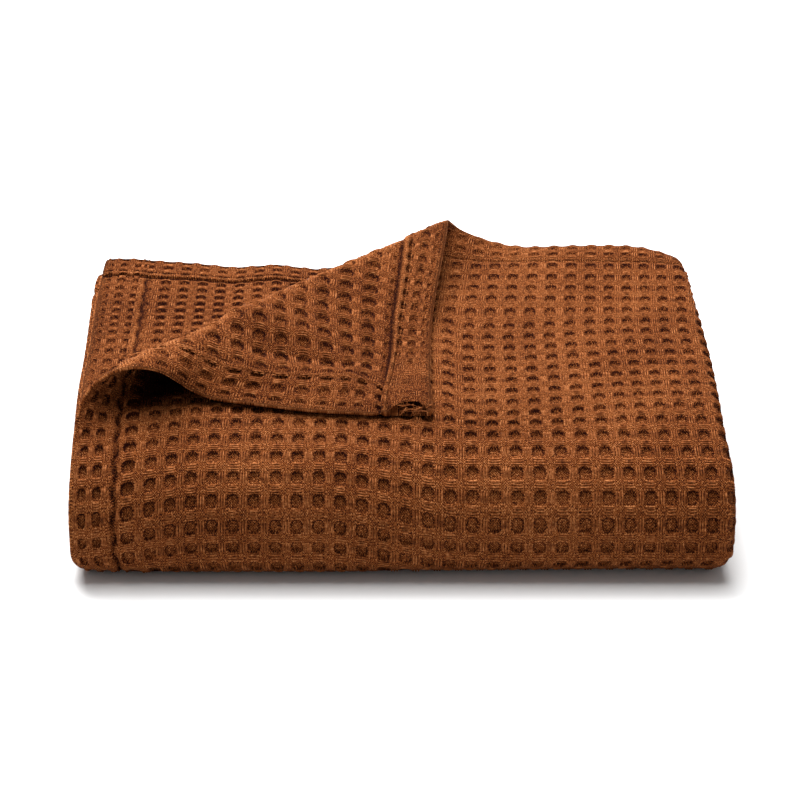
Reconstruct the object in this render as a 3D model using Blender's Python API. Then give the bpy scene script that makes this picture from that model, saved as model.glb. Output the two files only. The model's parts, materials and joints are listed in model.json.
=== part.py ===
"""A waffle weave cotton throw, folded into a stack with one corner turned back.

The throw is one sheet of cloth. It is folded in four across, which makes a strip of four plies,
and the strip is laid back and forth in six passes. The passes nest about the stack's front, so
the outermost ply wraps the whole nose from the top to the floor. The sheet's hemmed sides lie at
the left, and one hemmed end lies at the top of the back. The corner where they meet is rolled
over towards the front and the right, with the reverse side up.

Metres, +Z up, the nose towards -Y, the origin under the middle of the stack.
"""

import math

import bpy
import numpy as np
from mathutils import Vector
from mathutils.geometry import delaunay_2d_cdt

MM = 0.001

# Driving dimensions.
WIDTH = 359 * MM  # of the stack, from left to right
DEPTH = 275 * MM  # from the nose's front to the hemmed end
OVERHANG = 10 * MM  # of the hemmed end behind the folds under it
NOSE = 79 * MM  # how far the top curves down towards the nose
NOSE_FOOT = 13.5 * MM  # radius of the strip's middle where the nose turns under the stack
INNER_NOSE = 9 * MM  # how far the innermost pass reaches past where the top starts to curve
CLOTH = 2.4 * MM  # thickness of one ply
PLY = 3.1 * MM  # from one ply to the next
PASS = 12.8 * MM  # from one pass of the strip to the next
HEM = 25 * MM  # width of the turned hem
HEM_RISE = 1.2 * MM  # what the hem's allowance adds to the cloth
HEM_STEP = 1.5 * MM  # width of the slope at the allowance's border
SHORT_LEFT = 2 * MM  # how far inner plies and folds stop short at the left
SHORT_RIGHT = 1 * MM  # and at the right
CLOTH_COLOUR = (0.30, 0.09, 0.025, 1)

HALF_STRIP = 1.5 * PLY + CLOTH / 2
TOP_PASS = HALF_STRIP + 5 * PASS
LEFT = -WIDTH / 2
FRONT = -DEPTH / 2
BACK = DEPTH / 2 - OVERHANG
RIGHT_BEND = WIDTH / 2 - HALF_STRIP  # where the outer right-hand fold begins
TIGHT = PLY / 2 + CLOTH / 2  # what a fold of two plies reaches past where it begins
NOSE_FRONT = FRONT + HALF_STRIP
NOSE_START = FRONT + NOSE
BACK_BEND = BACK - HALF_STRIP - PASS / 2  # where the back folds begin

# Lines of points that all the plies share, so that they bend alike where the stack is uneven.
LINES_ACROSS = [x * MM for x in (-60, 75, 140)]
LINES_ALONG = [28 * MM]

# The nose's upper bends, from the top down: how far each turns, its outer radius, and its steps.
UPPER_BENDS = [
    dict(turn=20, radius=142 * MM, steps=3),
    dict(turn=35, radius=53 * MM, steps=3),
    dict(turn=35, radius=29 * MM, steps=2),
]

# The roll of the turned-back corner, in sections along its line from the left edge to the back.
# shift is how far the roll lies towards the front right of the line. The sheet lifts off the ply
# below over a stretch, until it slopes by tilt, turns over with the roll's radius, slopes down by
# fall, and lands over a last stretch.
CORNER_LINE = dict(left=195 * MM, end=219 * MM)  # where it meets the sheet's edges, from the corner
ROLL_SECTIONS = [
    dict(along=-40 * MM, shift=7 * MM, radius=10 * MM, lift=14 * MM, tilt=18, fall=16),
    dict(along=40 * MM, shift=2 * MM, radius=9 * MM, lift=20 * MM, tilt=15, fall=20),
    dict(along=130 * MM, shift=1.5 * MM, radius=10 * MM, lift=20 * MM, tilt=15, fall=24),
    dict(along=190 * MM, shift=-6 * MM, radius=10.5 * MM, lift=20 * MM, tilt=15, fall=24),
    dict(along=290 * MM, shift=-5 * MM, radius=10 * MM, lift=26 * MM, tilt=14, fall=16),
]
LANDING = 20 * MM  # the length over which the turned cloth levels out
LANDED = 3.8 * MM  # from the middle of the ply below to the middle of the turned cloth
EASE = 25 * MM  # over which one section of the roll changes into the next
CORNER_STEP = 22 * MM  # between points along the roll and on the turned cloth

# How far the passes lie to the right of the middle: the top one, the bottom one, and so on.
PASS_SHIFTS = [shift * MM for shift in (0.5, -2, -1, 1.5, -1, 0.5)]

# Where the stack has sunk: a place, how far it spreads, and the share of the height that is lost.
SINKS = [
    dict(x=190 * MM, y=150 * MM, spread=38 * MM, loss=0.18),
    dict(x=-190 * MM, y=40 * MM, spread=90 * MM, loss=0.03),
    dict(x=60 * MM, y=0, spread=100 * MM, loss=-0.015),
]
DRAWN_IN = 7 * MM  # how far the top's right edge lies inside the bottom's, at the back
TUCKED = dict(height=22 * MM, share=0.025)  # how high and how far the sides curl in at the floor
CUT_ASKEW = 0.008  # how far the hemmed end is out of square, as a slope


def bend(turn, radius, steps):
    """A run that turns by so many degrees, to the left when positive."""
    angle = math.radians(turn)
    return dict(length=abs(angle) * radius, curve=math.copysign(1 / radius, turn), steps=steps)


def straight(length, lines=()):
    """A run that keeps its direction, with lines of points at these distances along it."""
    return dict(length=length, curve=0.0, lines=sorted(lines))


def walk(distance, start, heading, runs):
    """The places and headings at these distances along a line of runs."""
    across, up = start
    for run in runs:
        step = np.clip(distance, 0, run["length"])
        half_turn = run["curve"] * step / 2
        chord = step * np.sinc(half_turn / np.pi)
        across = across + chord * np.cos(heading + half_turn)
        up = up + chord * np.sin(heading + half_turn)
        heading = heading + 2 * half_turn
        distance = distance - run["length"]
    return across, up, heading


def stations(runs):
    """The distances at which the sheet has a line of points."""
    found, travelled = [0.0], 0.0
    for run in runs:
        if run["curve"]:
            found += [travelled + run["length"] * (i + 1) / run["steps"] for i in range(run["steps"])]
        else:
            found += [travelled + line for line in run["lines"]] + [travelled + run["length"]]
        travelled += run["length"]
    return found


def plies():
    """The section across the strip, from the hem of the outermost ply: four plies and three folds."""

    def ply(start, end, hems=()):
        shared = [abs(x - start) for x in LINES_ACROSS]
        return straight(abs(end - start), shared + list(hems))

    inner_left = LEFT + TIGHT - SHORT_LEFT
    inner_right = RIGHT_BEND - SHORT_RIGHT
    last_edge = LEFT + SHORT_LEFT
    return [
        ply(LEFT, RIGHT_BEND, [HEM - HEM_STEP, HEM]),
        bend(-180, 1.5 * PLY, 4),
        ply(RIGHT_BEND, inner_left),
        bend(-180, PLY / 2, 2),
        ply(inner_left, inner_right),
        bend(180, PLY / 2, 2),
        ply(inner_right, last_edge),
    ]


def nose(depth, height, lower_radius):
    """The bends of a nose from the top down, for a line that lies so deep inside the cloth."""
    upper = [bend(b["turn"], b["radius"] - depth, b["steps"]) for b in UPPER_BENDS]
    drop = height - walk(1.0, (0, 0), 0, upper)[1] - lower_radius
    return upper + [straight(drop), bend(90, lower_radius, 3)]


def passes():
    """The line along the strip, from the hemmed end at the top of the back."""

    def level(start, end, hems=()):
        low, high = min(start, end), max(start, end)
        shared = [abs(y - start) for y in LINES_ALONG if low + 5 * MM < y < high - 5 * MM]
        return straight(high - low, shared + list(hems))

    outer = nose(HALF_STRIP, 5 * PASS, NOSE_FOOT)
    middle = nose(HALF_STRIP + PASS, 3 * PASS, PASS / 2)
    under_middle = NOSE_FRONT + PASS + PASS / 2
    upward = [dict(run, curve=-run["curve"]) for run in reversed(middle)]
    inner_front = NOSE_START - INNER_NOSE
    return [
        level(DEPTH / 2, NOSE_START, [PASS, HEM - HEM_STEP, HEM]),
        *outer,
        level(NOSE_FRONT + NOSE_FOOT, BACK_BEND),
        bend(180, PASS / 2, 3),
        level(BACK_BEND, under_middle),
        *upward,
        level(NOSE_START, BACK_BEND),
        bend(-180, PASS / 2, 3),
        level(BACK_BEND, inner_front),
        bend(180, PASS / 2, 3),
        level(inner_front, BACK_BEND),
    ]


def roll_runs(along):
    """Where the sheet starts to lift at these places along the corner's line, and the runs from there."""
    eased = np.linspace(-EASE, EASE, 9).reshape(-1, *[1] * np.ndim(along)) + along
    places = [row["along"] for row in ROLL_SECTIONS]

    def size(name):
        return np.interp(eased, places, [row[name] for row in ROLL_SECTIONS]).mean(axis=0)

    shift, radius, lift = size("shift"), size("radius"), size("lift")
    tilt, fall = np.radians(size("tilt")), np.radians(size("fall"))
    lifted = lift * (1 - np.cos(tilt)) / tilt + radius * (np.cos(tilt) + np.cos(fall))
    levelled = LANDING * (1 - np.cos(fall)) / fall
    runs = [
        dict(length=lift, curve=tilt / lift),
        dict(length=radius * (math.pi + fall - tilt), curve=1 / radius),
        dict(length=(lifted - levelled - LANDED) / np.sin(fall), curve=0.0),
        dict(length=LANDING, curve=-fall / LANDING),
    ]
    length = sum(run["length"] for run in runs)
    start = -shift - (length + walk(length, (0, 0), 0, runs)[0]) / 2
    return start, runs + [straight(1.0)]


def on_corner_line(u, v):
    """Distances along the corner's line from the left edge, and beyond it towards the corner."""
    slant = math.atan2(CORNER_LINE["left"], CORNER_LINE["end"])
    from_left = v - CORNER_LINE["left"]
    along = u * math.cos(slant) - from_left * math.sin(slant)
    return along, -u * math.sin(slant) - from_left * math.cos(slant)


def off_corner_line(along, beyond):
    """The place in the sheet that has these distances."""
    slant = math.atan2(CORNER_LINE["left"], CORNER_LINE["end"])
    u = along * math.cos(slant) - beyond * math.sin(slant)
    return u, CORNER_LINE["left"] - along * math.sin(slant) - beyond * math.cos(slant)


def sheet_point(u, v, w):
    """The place of a point of the flat sheet, w above its middle on the face side."""
    x, above, turned = walk(u, (LEFT, 1.5 * PLY), 0, PLIES)
    along, beyond = on_corner_line(u, v)
    start, runs = roll_runs(along)
    reached, raised, rolled = walk(beyond - start, (np.minimum(beyond, start), 0), 0, runs)
    carried_u, carried_v = off_corner_line(along, reached - w * np.sin(rolled))

    x = x + carried_u - u - w * np.sin(turned)
    above = above + raised + w * (np.cos(rolled) + np.cos(turned) - 1)
    behind_end = np.minimum(carried_v, 0)
    y, z, heading = walk(carried_v, (DEPTH / 2 - behind_end, TOP_PASS), math.pi, PASSES)
    shift = np.interp(carried_v, PASS_MIDDLES, PASS_SHIFTS)
    return settled(x + shift, y + above * np.sin(heading), z - above * np.cos(heading))


def settled(x, y, z):
    """The place in the uneven stack of a point of the even one."""
    height = z / (6 * PASS)
    for sink in SINKS:
        away = ((x - sink["x"]) ** 2 + (y - sink["y"]) ** 2) / sink["spread"] ** 2
        z = z * (1 - sink["loss"] * np.exp(-away))
    rightness = np.clip(x / RIGHT_BEND, 0, 1)
    backness = np.clip((y - NOSE_START) / (BACK - NOSE_START), 0, 1)
    x = x - DRAWN_IN * rightness * backness * height**2
    curl = TUCKED["share"] * np.clip(1 - z / TUCKED["height"], 0, 1) ** 2
    return x * (1 - curl), y, z


def pass_middles():
    """The distances along the strip at which its passes have their middles."""
    middles, travelled = [], 0.0
    for run in PASSES:
        if run["length"] > NOSE:
            middles.append(travelled + run["length"] / 2)
        travelled += run["length"]
    return middles


PLIES = plies()
PASSES = passes()
PASS_MIDDLES = pass_middles()


def allowance(u, v):
    """What the hem's turned-in edge adds to the reverse side, where the corner shows it."""
    _, beyond = on_corner_line(u, v)
    shown = np.clip(beyond / HEM, 0, 1)
    return HEM_RISE * shown * np.clip((HEM - np.minimum(u, v)) / HEM_STEP, 0, 1)


def corner_mesh(us, vs):
    """Points and triangles over the outermost ply, from its hems to the end of these grid lines.

    Lines of points follow the roll and the border of the hem's allowance. Along the last line in
    u and in v, the points are the grid's own.
    """
    points, edges = [], []
    u_end, v_end = us[-1], vs[-1]

    def line(places):
        first = len(points)
        points.extend(Vector(place) for place in places)
        edges.extend((i, i + 1) for i in range(first, len(points) - 1))

    def flat_at(u, v):
        along, beyond = on_corner_line(u, v)
        return beyond < roll_runs(along)[0] - CORNER_STEP / 4

    for inset in (0, HEM - HEM_STEP, HEM):
        line([(inset, inset)] + [(inset, v) for v in vs if flat_at(inset, v)])
        line([(inset, inset)] + [(u, max(inset, CUT_ASKEW * u)) for u in us if flat_at(u, inset)])
    line([(u_end, v) for v in vs])
    line([(u, v_end) for u in us])

    alongs = np.arange(-4, 17) * CORNER_STEP
    lift, runs = roll_runs(alongs)
    rows = [lift]
    for run, steps in zip(runs, (2, 6, 2, 2)):
        rows += [rows[-1] + run["length"] * (i + 1) / steps for i in range(steps)]
    rows += [rows[-1] + CORNER_STEP * (i + 1) for i in range(6)]
    for row in rows:
        line(np.stack(off_corner_line(alongs, row), axis=1))

    for v in vs[1:-1]:
        closer = us if v < u_end / 2 else np.union1d(us, np.arange(1, 7) * CORNER_STEP)
        line([(u, v) for u in closer if flat_at(u, v)])

    flat, _, triangles, *_ = delaunay_2d_cdt(points, edges, [], 0, 4e-4)
    flat = np.array(flat)
    middles = flat[np.array(triangles)].mean(axis=1)
    inside = (middles[:, 0] > 0) & (middles[:, 0] < u_end) & (middles[:, 1] < v_end)
    inside &= middles[:, 1] > CUT_ASKEW * middles[:, 0]
    return flat, [triangle for triangle, kept in zip(triangles, inside) if kept]


def sheet_mesh():
    """Points and triangles over the whole flat sheet, counterclockwise in u and v."""
    us, vs = np.array(stations(PLIES)), np.array(stations(PASSES))
    corner_us = us[us <= PLIES[0]["length"] + 1e-9]
    corner_vs = vs[vs <= sum(run["length"] for run in PASSES[:3]) + 1e-9]
    points, triangles = corner_mesh(corner_us, corner_vs)
    points = [tuple(point) for point in points]

    ids = {}
    for i, u in enumerate(us):
        for j, v in enumerate(vs):
            v = CUT_ASKEW * u if j == 0 else v
            if i >= len(corner_us) - 1 or j >= len(corner_vs) - 1:
                if i < len(corner_us) and j < len(corner_vs):
                    away = np.hypot(*(np.array(points) - (u, v)).T)
                    ids[i, j] = int(np.argmin(away))
                else:
                    ids[i, j] = len(points)
                    points.append((u, v))

    for i in range(len(us) - 1):
        for j in range(len(vs) - 1):
            if i >= len(corner_us) - 1 or j >= len(corner_vs) - 1:
                a, b, c, d = ids[i, j], ids[i + 1, j], ids[i + 1, j + 1], ids[i, j + 1]
                x, y, _ = sheet_point(*np.array([points[a], points[b], points[d]]).T, 0.0)
                if (x[1] - x[0]) * (y[2] - y[0]) > 0:
                    triangles += [(a, b, c), (a, c, d)]
                else:
                    triangles += [(a, b, d), (b, c, d)]
    used = sorted({point for triangle in triangles for point in triangle})
    renamed = {old: new for new, old in enumerate(used)}
    return np.array(points)[used], [[renamed[point] for point in triangle] for triangle in triangles]


def blanket():
    """The folded sheet as one closed body: the face side, the reverse side and the cut edges."""
    flat, triangles = sheet_mesh()
    u, v = flat.T
    face = np.stack(sheet_point(u, v, CLOTH / 2), axis=1)
    reverse = np.stack(sheet_point(u, v, -CLOTH / 2 - allowance(u, v)), axis=1)
    places = np.concatenate([face, reverse])
    low, high = places.min(axis=0), places.max(axis=0)
    places -= ((low[0] + high[0]) / 2, (low[1] + high[1]) / 2, 0)

    count = len(flat)
    faces = [(a, c, b) for a, b, c in triangles]
    faces += [(a + count, b + count, c + count) for a, b, c in triangles]
    sides = {(a, b) for t in triangles for a, b in zip(t, t[1:] + t[:1])}
    for a, b in sorted(sides):
        if (b, a) not in sides:
            faces += [(a, b, b + count), (a, b + count, a + count)]

    mesh = bpy.data.meshes.new("blanket")
    mesh.from_pydata(places.tolist(), [], faces)
    mesh.shade_smooth()
    mesh.set_sharp_from_angle(angle=math.radians(50))
    mesh.materials.append(cotton())
    return bpy.data.objects.new("blanket", mesh)


def cotton():
    material = bpy.data.materials.new("rust cotton")
    material.use_nodes = True
    shader = material.node_tree.nodes["Principled BSDF"]
    shader.inputs["Base Color"].default_value = CLOTH_COLOUR
    shader.inputs["Roughness"].default_value = 0.9
    shader.inputs["Metallic"].default_value = 0.0
    return material


for old in list(bpy.data.objects):
    bpy.data.objects.remove(old, do_unlink=True)

bpy.context.collection.objects.link(blanket())
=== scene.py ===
import json
import math

import bpy
import numpy as np
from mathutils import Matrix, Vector

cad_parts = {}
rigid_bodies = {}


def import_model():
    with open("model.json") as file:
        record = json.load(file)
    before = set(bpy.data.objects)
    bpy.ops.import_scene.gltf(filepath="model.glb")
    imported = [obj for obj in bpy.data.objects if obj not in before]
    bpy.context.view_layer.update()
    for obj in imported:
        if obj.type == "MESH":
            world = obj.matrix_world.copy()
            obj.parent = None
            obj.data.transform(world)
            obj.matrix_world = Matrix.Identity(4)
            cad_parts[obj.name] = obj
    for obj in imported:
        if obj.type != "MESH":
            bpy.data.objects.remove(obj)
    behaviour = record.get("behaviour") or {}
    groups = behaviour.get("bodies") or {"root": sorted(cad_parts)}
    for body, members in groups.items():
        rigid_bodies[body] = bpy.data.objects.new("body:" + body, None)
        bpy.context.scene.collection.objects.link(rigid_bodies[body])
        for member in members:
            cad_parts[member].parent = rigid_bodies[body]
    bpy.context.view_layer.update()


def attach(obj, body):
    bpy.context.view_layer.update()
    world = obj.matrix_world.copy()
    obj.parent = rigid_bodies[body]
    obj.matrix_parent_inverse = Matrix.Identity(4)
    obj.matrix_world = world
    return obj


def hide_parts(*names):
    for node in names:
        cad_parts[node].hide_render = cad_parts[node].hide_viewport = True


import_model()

# ---- The outermost ply ----
# The top and the front of the stack, with the corner that is turned back over them. It is the
# hemmed side of one sheet of cotton in waffle weave, folded in four across and laid back and
# forth in six passes. Nothing holds it but its own weight.
MM = 0.001
WIDTH = 359 * MM  # of the stack, from left to right
DEPTH = 275 * MM  # from the nose's front to the hemmed end
OVERHANG = 10 * MM  # of the hemmed end behind the folds under it
NOSE = 79 * MM  # how far the top curves down towards the nose
NOSE_FOOT = 13.5 * MM  # the radius of the nose's lower curve
INNER_NOSE = 9 * MM  # how far the innermost pass goes past the start of the nose
CLOTH = 2.4 * MM  # the cloth's thickness between its pits
PLY = 3.1 * MM  # from one ply to the next, of the four that make the strip
PASS = 12.8 * MM  # from one pass of the strip to the next
SHORT_LEFT, SHORT_RIGHT = 2 * MM, 1 * MM  # how far the inner plies stay inside the outermost one
STACK_MIDDLE = (-1.144 * MM, -0.893 * MM)  # of the stack's box, before it is brought to the origin

HALF_STRIP = 1.5 * PLY + CLOTH / 2
TOP_PASS = HALF_STRIP + 5 * PASS  # the height of the top pass's middle
LEFT, FRONT, BACK = -WIDTH / 2, -DEPTH / 2, DEPTH / 2 - OVERHANG
RIGHT_BEND = WIDTH / 2 - HALF_STRIP
TIGHT = PLY / 2 + CLOTH / 2  # the outer radius of the tightest bend
NOSE_FRONT, NOSE_START = FRONT + HALF_STRIP, FRONT + NOSE
BACK_BEND = BACK - HALF_STRIP - PASS / 2
UPPER_BENDS = [(20, 142 * MM), (35, 53 * MM), (35, 29 * MM)]  # turn and outer radius, from the top

# The corner is turned over a line that cuts the left edge and the hemmed end this far from it.
CORNER_LINE = dict(left=195 * MM, end=219 * MM)
# The roll at places along that line, from the left edge: how far it is set back from the corner,
# the radius it turns with, how long it takes to lift off and how steeply, and the slope it lands at.
ROLL = dict(
    along=np.array([-40, 30, 60, 105, 190, 290]) * MM,
    shift=np.array([12, 0, 7, 5, -6, -5]) * MM,
    radius=np.array([14, 14, 11, 12, 10, 8]) * MM,
    lift=np.array([8, 12, 20, 25, 20, 30]) * MM,
    tilt=np.radians([8, 12, 25, 25, 15, 42]),
    fall=np.radians([80, 70, 40, 20, 15, 12]),
)
LANDING, LANDED = 20 * MM, 3.8 * MM  # the corner's run out on the top, and how high it lies there
EASE = 25 * MM  # over what length to either side the roll's sizes are evened out
DRAG = 9 * MM  # how far the left hem is drawn to the right where it goes over the roll

PASS_SHIFTS = np.array([0.5, -2, -1, 1.5, -1, 0.5]) * MM  # how far to the right each pass lies
SINKS = [  # soft dips and swellings: x, y and spread in millimetres, and the share of height lost
    (188, 142, 24, 0.13), (-190, 40, 90, 0.03), (60, 0, 100, -0.015), (75, 140, 35, 0.02),
    (-75, 140, 50, 0.05),
]
DRAWN_IN = 7 * MM  # how far the right side leans in at the back
RIGHT_HOLLOW, RIGHT_FOOT = 2 * MM, 1.8 * MM  # the right side's hollow, and its swelling at the nose
LEFT_SWELL, LEFT_FOOT = 6.5 * MM, 3.5 * MM  # the left side's swelling, and its drawing in at the nose
TUCKED = (22 * MM, 0.025)  # below what height the sides draw in towards the floor, and how much
CUT_ASKEW = 0.008  # how far the hemmed end runs askew, for each metre across
FOOT_RAISED = 4 * MM  # how far the nose's foot stands off what it lies on, more at its two ends


def smooth(low, high, value):
    """A share that eases from 0 at low to 1 at high."""
    share = np.clip((value - low) / (high - low), 0, 1)
    return share * share * (3 - 2 * share)


def hill(value, middle, spread):
    """A share that is 1 at the middle and fades over the spread to either side."""
    return np.exp(-(((value - middle) / spread) ** 2))


def bend(turn, radius):
    """The length and the curve of a run that turns this many degrees."""
    angle = math.radians(turn)
    return abs(angle) * radius, math.copysign(1 / radius, turn)


def straight(length):
    """The same of a run that doesn't turn."""
    return abs(length), 0.0


def walk(distance, start, heading, runs):
    """The places and headings at these distances along a line of runs."""
    across, up = start
    for length, curve in runs:
        step = np.clip(distance, 0, length)
        half_turn = curve * step / 2
        chord = step * np.sinc(half_turn / np.pi)
        across = across + chord * np.cos(heading + half_turn)
        up = up + chord * np.sin(heading + half_turn)
        heading = heading + 2 * half_turn
        distance = distance - length
    return across, up, heading


def nose(depth, height, lower_radius):
    """The runs of a ply this far inside the nose's outline, down to its foot."""
    upper = [bend(turn, radius - depth) for turn, radius in UPPER_BENDS]
    drop = height - walk(1.0, (0, 0), 0, upper)[1] - lower_radius
    return upper + [straight(drop), bend(90, lower_radius)]


def plies():
    """The section across the strip, from the hem of the outermost ply."""
    inner_left, inner_right = LEFT + TIGHT - SHORT_LEFT, RIGHT_BEND - SHORT_RIGHT
    return [
        straight(RIGHT_BEND - LEFT), bend(-180, 1.5 * PLY),
        straight(RIGHT_BEND - inner_left), bend(-180, PLY / 2),
        straight(inner_right - inner_left), bend(180, PLY / 2),
        straight(inner_right - LEFT - SHORT_LEFT),
    ]


def passes():
    """The line along the strip, from the hemmed end at the top of the back."""
    middle = nose(HALF_STRIP + PASS, 3 * PASS, PASS / 2)
    inner = NOSE_START - INNER_NOSE
    return [
        straight(DEPTH / 2 - NOSE_START), *nose(HALF_STRIP, 5 * PASS, NOSE_FOOT),
        straight(BACK_BEND - NOSE_FRONT - NOSE_FOOT), bend(180, PASS / 2),
        straight(BACK_BEND - NOSE_FRONT - 1.5 * PASS), *[(run, -curve) for run, curve in middle[::-1]],
        straight(BACK_BEND - NOSE_START), bend(-180, PASS / 2),
        straight(BACK_BEND - inner), bend(180, PASS / 2), straight(BACK_BEND - inner),
    ]


PLIES, PASSES = plies(), passes()
ACROSS, ALONG = sum(run[0] for run in PLIES), sum(run[0] for run in PASSES)
PASS_ENDS = np.cumsum([run[0] for run in PASSES])
PASS_MIDDLES = [end - run[0] / 2 for end, run in zip(PASS_ENDS, PASSES) if run[0] > NOSE]
UPWARD_FOLD, DOWNWARD_FOLD = (PASS_ENDS[turn] - PASSES[turn][0] / 2 for turn in (7, 15))  # at the back
LOWEST_PLY = sum(run[0] for run in PLIES[:2]) + PLIES[2][0] / 2  # the middle of the strip's lowest ply


def at_downward_fold(u, v):
    """Where the strip's lowest ply shows outermost, on the second of the folds at the back."""
    return (abs(u - LOWEST_PLY) < PLIES[2][0] / 2) & (abs(v - DOWNWARD_FOLD) < 18 * MM)


def roll_runs(along):
    """Where the sheet starts to lift along the corner's line, and the runs from there."""
    eased = np.linspace(-EASE, EASE, 9).reshape(-1, *[1] * np.ndim(along)) + along
    shift, radius, lift, tilt, fall = (
        np.interp(eased, ROLL["along"], ROLL[name]).mean(axis=0)
        for name in ("shift", "radius", "lift", "tilt", "fall")
    )
    lifted = lift * (1 - np.cos(tilt)) / tilt + radius * (np.cos(tilt) + np.cos(fall))
    levelled = LANDING * (1 - np.cos(fall)) / fall
    runs = [
        (lift, tilt / lift),
        (radius * (math.pi + fall - tilt), 1 / radius),
        ((lifted - levelled - LANDED) / np.sin(fall), 0.0),
        (LANDING, -fall / LANDING),
    ]
    length = sum(run[0] for run in runs)
    across = walk(length, (0, 0), 0, runs)[0]
    return -shift - (length + across) / 2, runs + [straight(1.0)], length, across


SLANT = math.atan2(CORNER_LINE["left"], CORNER_LINE["end"])


def on_corner_line(u, v):
    """Distances along the corner's line from the left edge, and beyond it towards the corner."""
    down = v - CORNER_LINE["left"]
    along = u * math.cos(SLANT) - down * math.sin(SLANT)
    return along, -u * math.sin(SLANT) - down * math.cos(SLANT)


def off_corner_line(along, beyond):
    """The place in the flat sheet of a place by the corner's line."""
    u = along * math.cos(SLANT) - beyond * math.sin(SLANT)
    return u, CORNER_LINE["left"] - along * math.sin(SLANT) - beyond * math.cos(SLANT)


def sheet_point(u, v, w):
    """The place of a point of the flat sheet, w above its middle on the face side."""
    x, above, turned = walk(u, (LEFT, 1.5 * PLY), 0, PLIES)
    along, beyond = on_corner_line(u, v)
    start, runs, _, _ = roll_runs(along)
    reached, raised, rolled = walk(beyond - start, (np.minimum(beyond, start), 0), 0, runs)
    carried_u, carried_v = off_corner_line(along, reached - w * np.sin(rolled))
    drag = DRAG * smooth(-0.015, 0.025, beyond) * (1 - smooth(0.06, 0.13, beyond))
    drag = drag * (1 - smooth(0, 0.09, u))
    x = x + carried_u - u - w * np.sin(turned) + drag
    above = above + raised + w * (np.cos(rolled) + np.cos(turned) - 1)
    behind_end = np.minimum(carried_v, 0)
    y, z, heading = walk(carried_v, (DEPTH / 2 - behind_end, TOP_PASS), math.pi, PASSES)
    x = x + np.interp(carried_v, PASS_MIDDLES, PASS_SHIFTS)
    return settled(x, y + above * np.sin(heading), z - above * np.cos(heading))


def settled(x, y, z):
    """The place in the uneven stack of a point of the even one, as an array of points."""
    height = z / (6 * PASS)
    for mid_x, mid_y, spread, loss in SINKS:
        away = ((x / MM - mid_x) ** 2 + (y / MM - mid_y) ** 2) / spread**2
        z = z * (1 - loss * np.exp(-away))
    rightness = np.clip(x / RIGHT_BEND, 0, 1)
    backness = np.clip((y - NOSE_START) / (BACK - NOSE_START), 0, 1)
    x = x - DRAWN_IN * rightness * backness * height**2
    leftness = np.clip(x / LEFT, 0, 1) ** 4
    x = x - RIGHT_HOLLOW * rightness * hill(y, -0.07, 0.04) * height
    x = x + RIGHT_FOOT * rightness * (1 - smooth(-0.13, -0.09, y))
    x = x - LEFT_SWELL * leftness * hill(y, 0.09, 0.08) * hill(z, 0.045, 0.035)
    x = x + LEFT_FOOT * leftness * (1 - smooth(-0.11, -0.02, y))
    x = x * (1 - TUCKED[1] * np.clip(1 - z / TUCKED[0], 0, 1) ** 2)
    raised = np.clip(0.35 + x / (160 * MM), 0.1, 1.2) + 0.8 * smooth(-0.14, -0.18, x)
    z = z + FOOT_RAISED * raised * (1 - smooth(0, 20 * MM, y - FRONT)) * (1 - smooth(2 * MM, 20 * MM, z))
    return np.stack([x - STACK_MIDDLE[0], y - STACK_MIDDLE[1], z], axis=-1)


# The weave's cells. A hem is two cells wide, then comes its seam, then the body of the cloth. On the
# top and the nose the cells are drawn out unevenly, so their borders follow a curve.
SEAM_ACROSS, SEAM_ALONG = 24.5 * MM, 23.4 * MM  # the middles of the side and the end hem's seams
SIDE_HEM_CELLS = np.array([0, 2.3, 10.6, 19.4, 23.5]) * MM
END_HEM_CELLS = np.array([0, 2.2, 10.8, 19.4, 22.4]) * MM
INNER_COLUMN, INNER_ROW = 11.0 * MM, 11.6 * MM  # the even cells of what is folded in
HEMS_SHOWN = 300 * MM  # how far from the cloth's corner its hems show
LEAN = (0.1, 115 * MM)  # how the columns drift to the right, and how far from the end they start to
# How far the second ply's end lies in front of the outermost one's, at places from its side hem.
SECOND_PLACES = np.array([14, 33, 52, 76, 101, 126, 150, 200, 300]) * MM
SECOND_SHORT = np.array([4.5, 7.5, 9.5, 14, 8, 18, 14, 14, 22]) * MM


def cell_borders(hem, near, pitch, whole):
    """Borders over the whole sheet: a hem, the cells near it, then even ones up to the other hem."""
    far_seam = whole - near[0]
    even = np.linspace(near[-1], far_seam, round((far_seam - near[-1]) / pitch) + 1)
    return np.concatenate([hem, near, even[1:], whole - hem[::-1]])


cells = np.arange(-0.5, 23)
COLUMNS = (33.3 + 11.3 * cells + 0.0185 * cells**2) * MM
COLUMNS[0] = SEAM_ACROSS + 1 * MM
COLUMNS = cell_borders(SIDE_HEM_CELLS, COLUMNS, INNER_COLUMN, ACROSS)
cells = np.arange(-0.5, 22)
ROWS = (32.4 + 15.8 * cells - 0.215 * cells**2 + 0.0036 * cells**3) * MM
ROWS[0] = SEAM_ALONG + 1 * MM
ROWS = cell_borders(END_HEM_CELLS, ROWS, INNER_ROW, ALONG)


def flare(u, v):
    """How far the end hem's seam swings out where the hem comes to the cloth's corner."""
    swung = 6.5 * MM * (1 - smooth(0.0, 0.075, u)) + 1.5 * MM * np.sin(u / (24 * MM))
    return swung * (u < HEMS_SHOWN) * smooth(0, 0.02, v) * (1 - smooth(0.03, 0.065, v))


def shortened(u):
    """How far the end hem of the plies under the outermost one lies in front of its end."""
    return np.interp(ACROSS - u, SECOND_PLACES, SECOND_SHORT) * smooth(0.45, 0.6, u)


def askew(u, v, slope=CUT_ASKEW):
    """How far along the sheet a place lies when the rows next to the end run at this slope."""
    return v + slope * u * np.clip(1 - v / 0.2, 0, 1)


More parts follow.
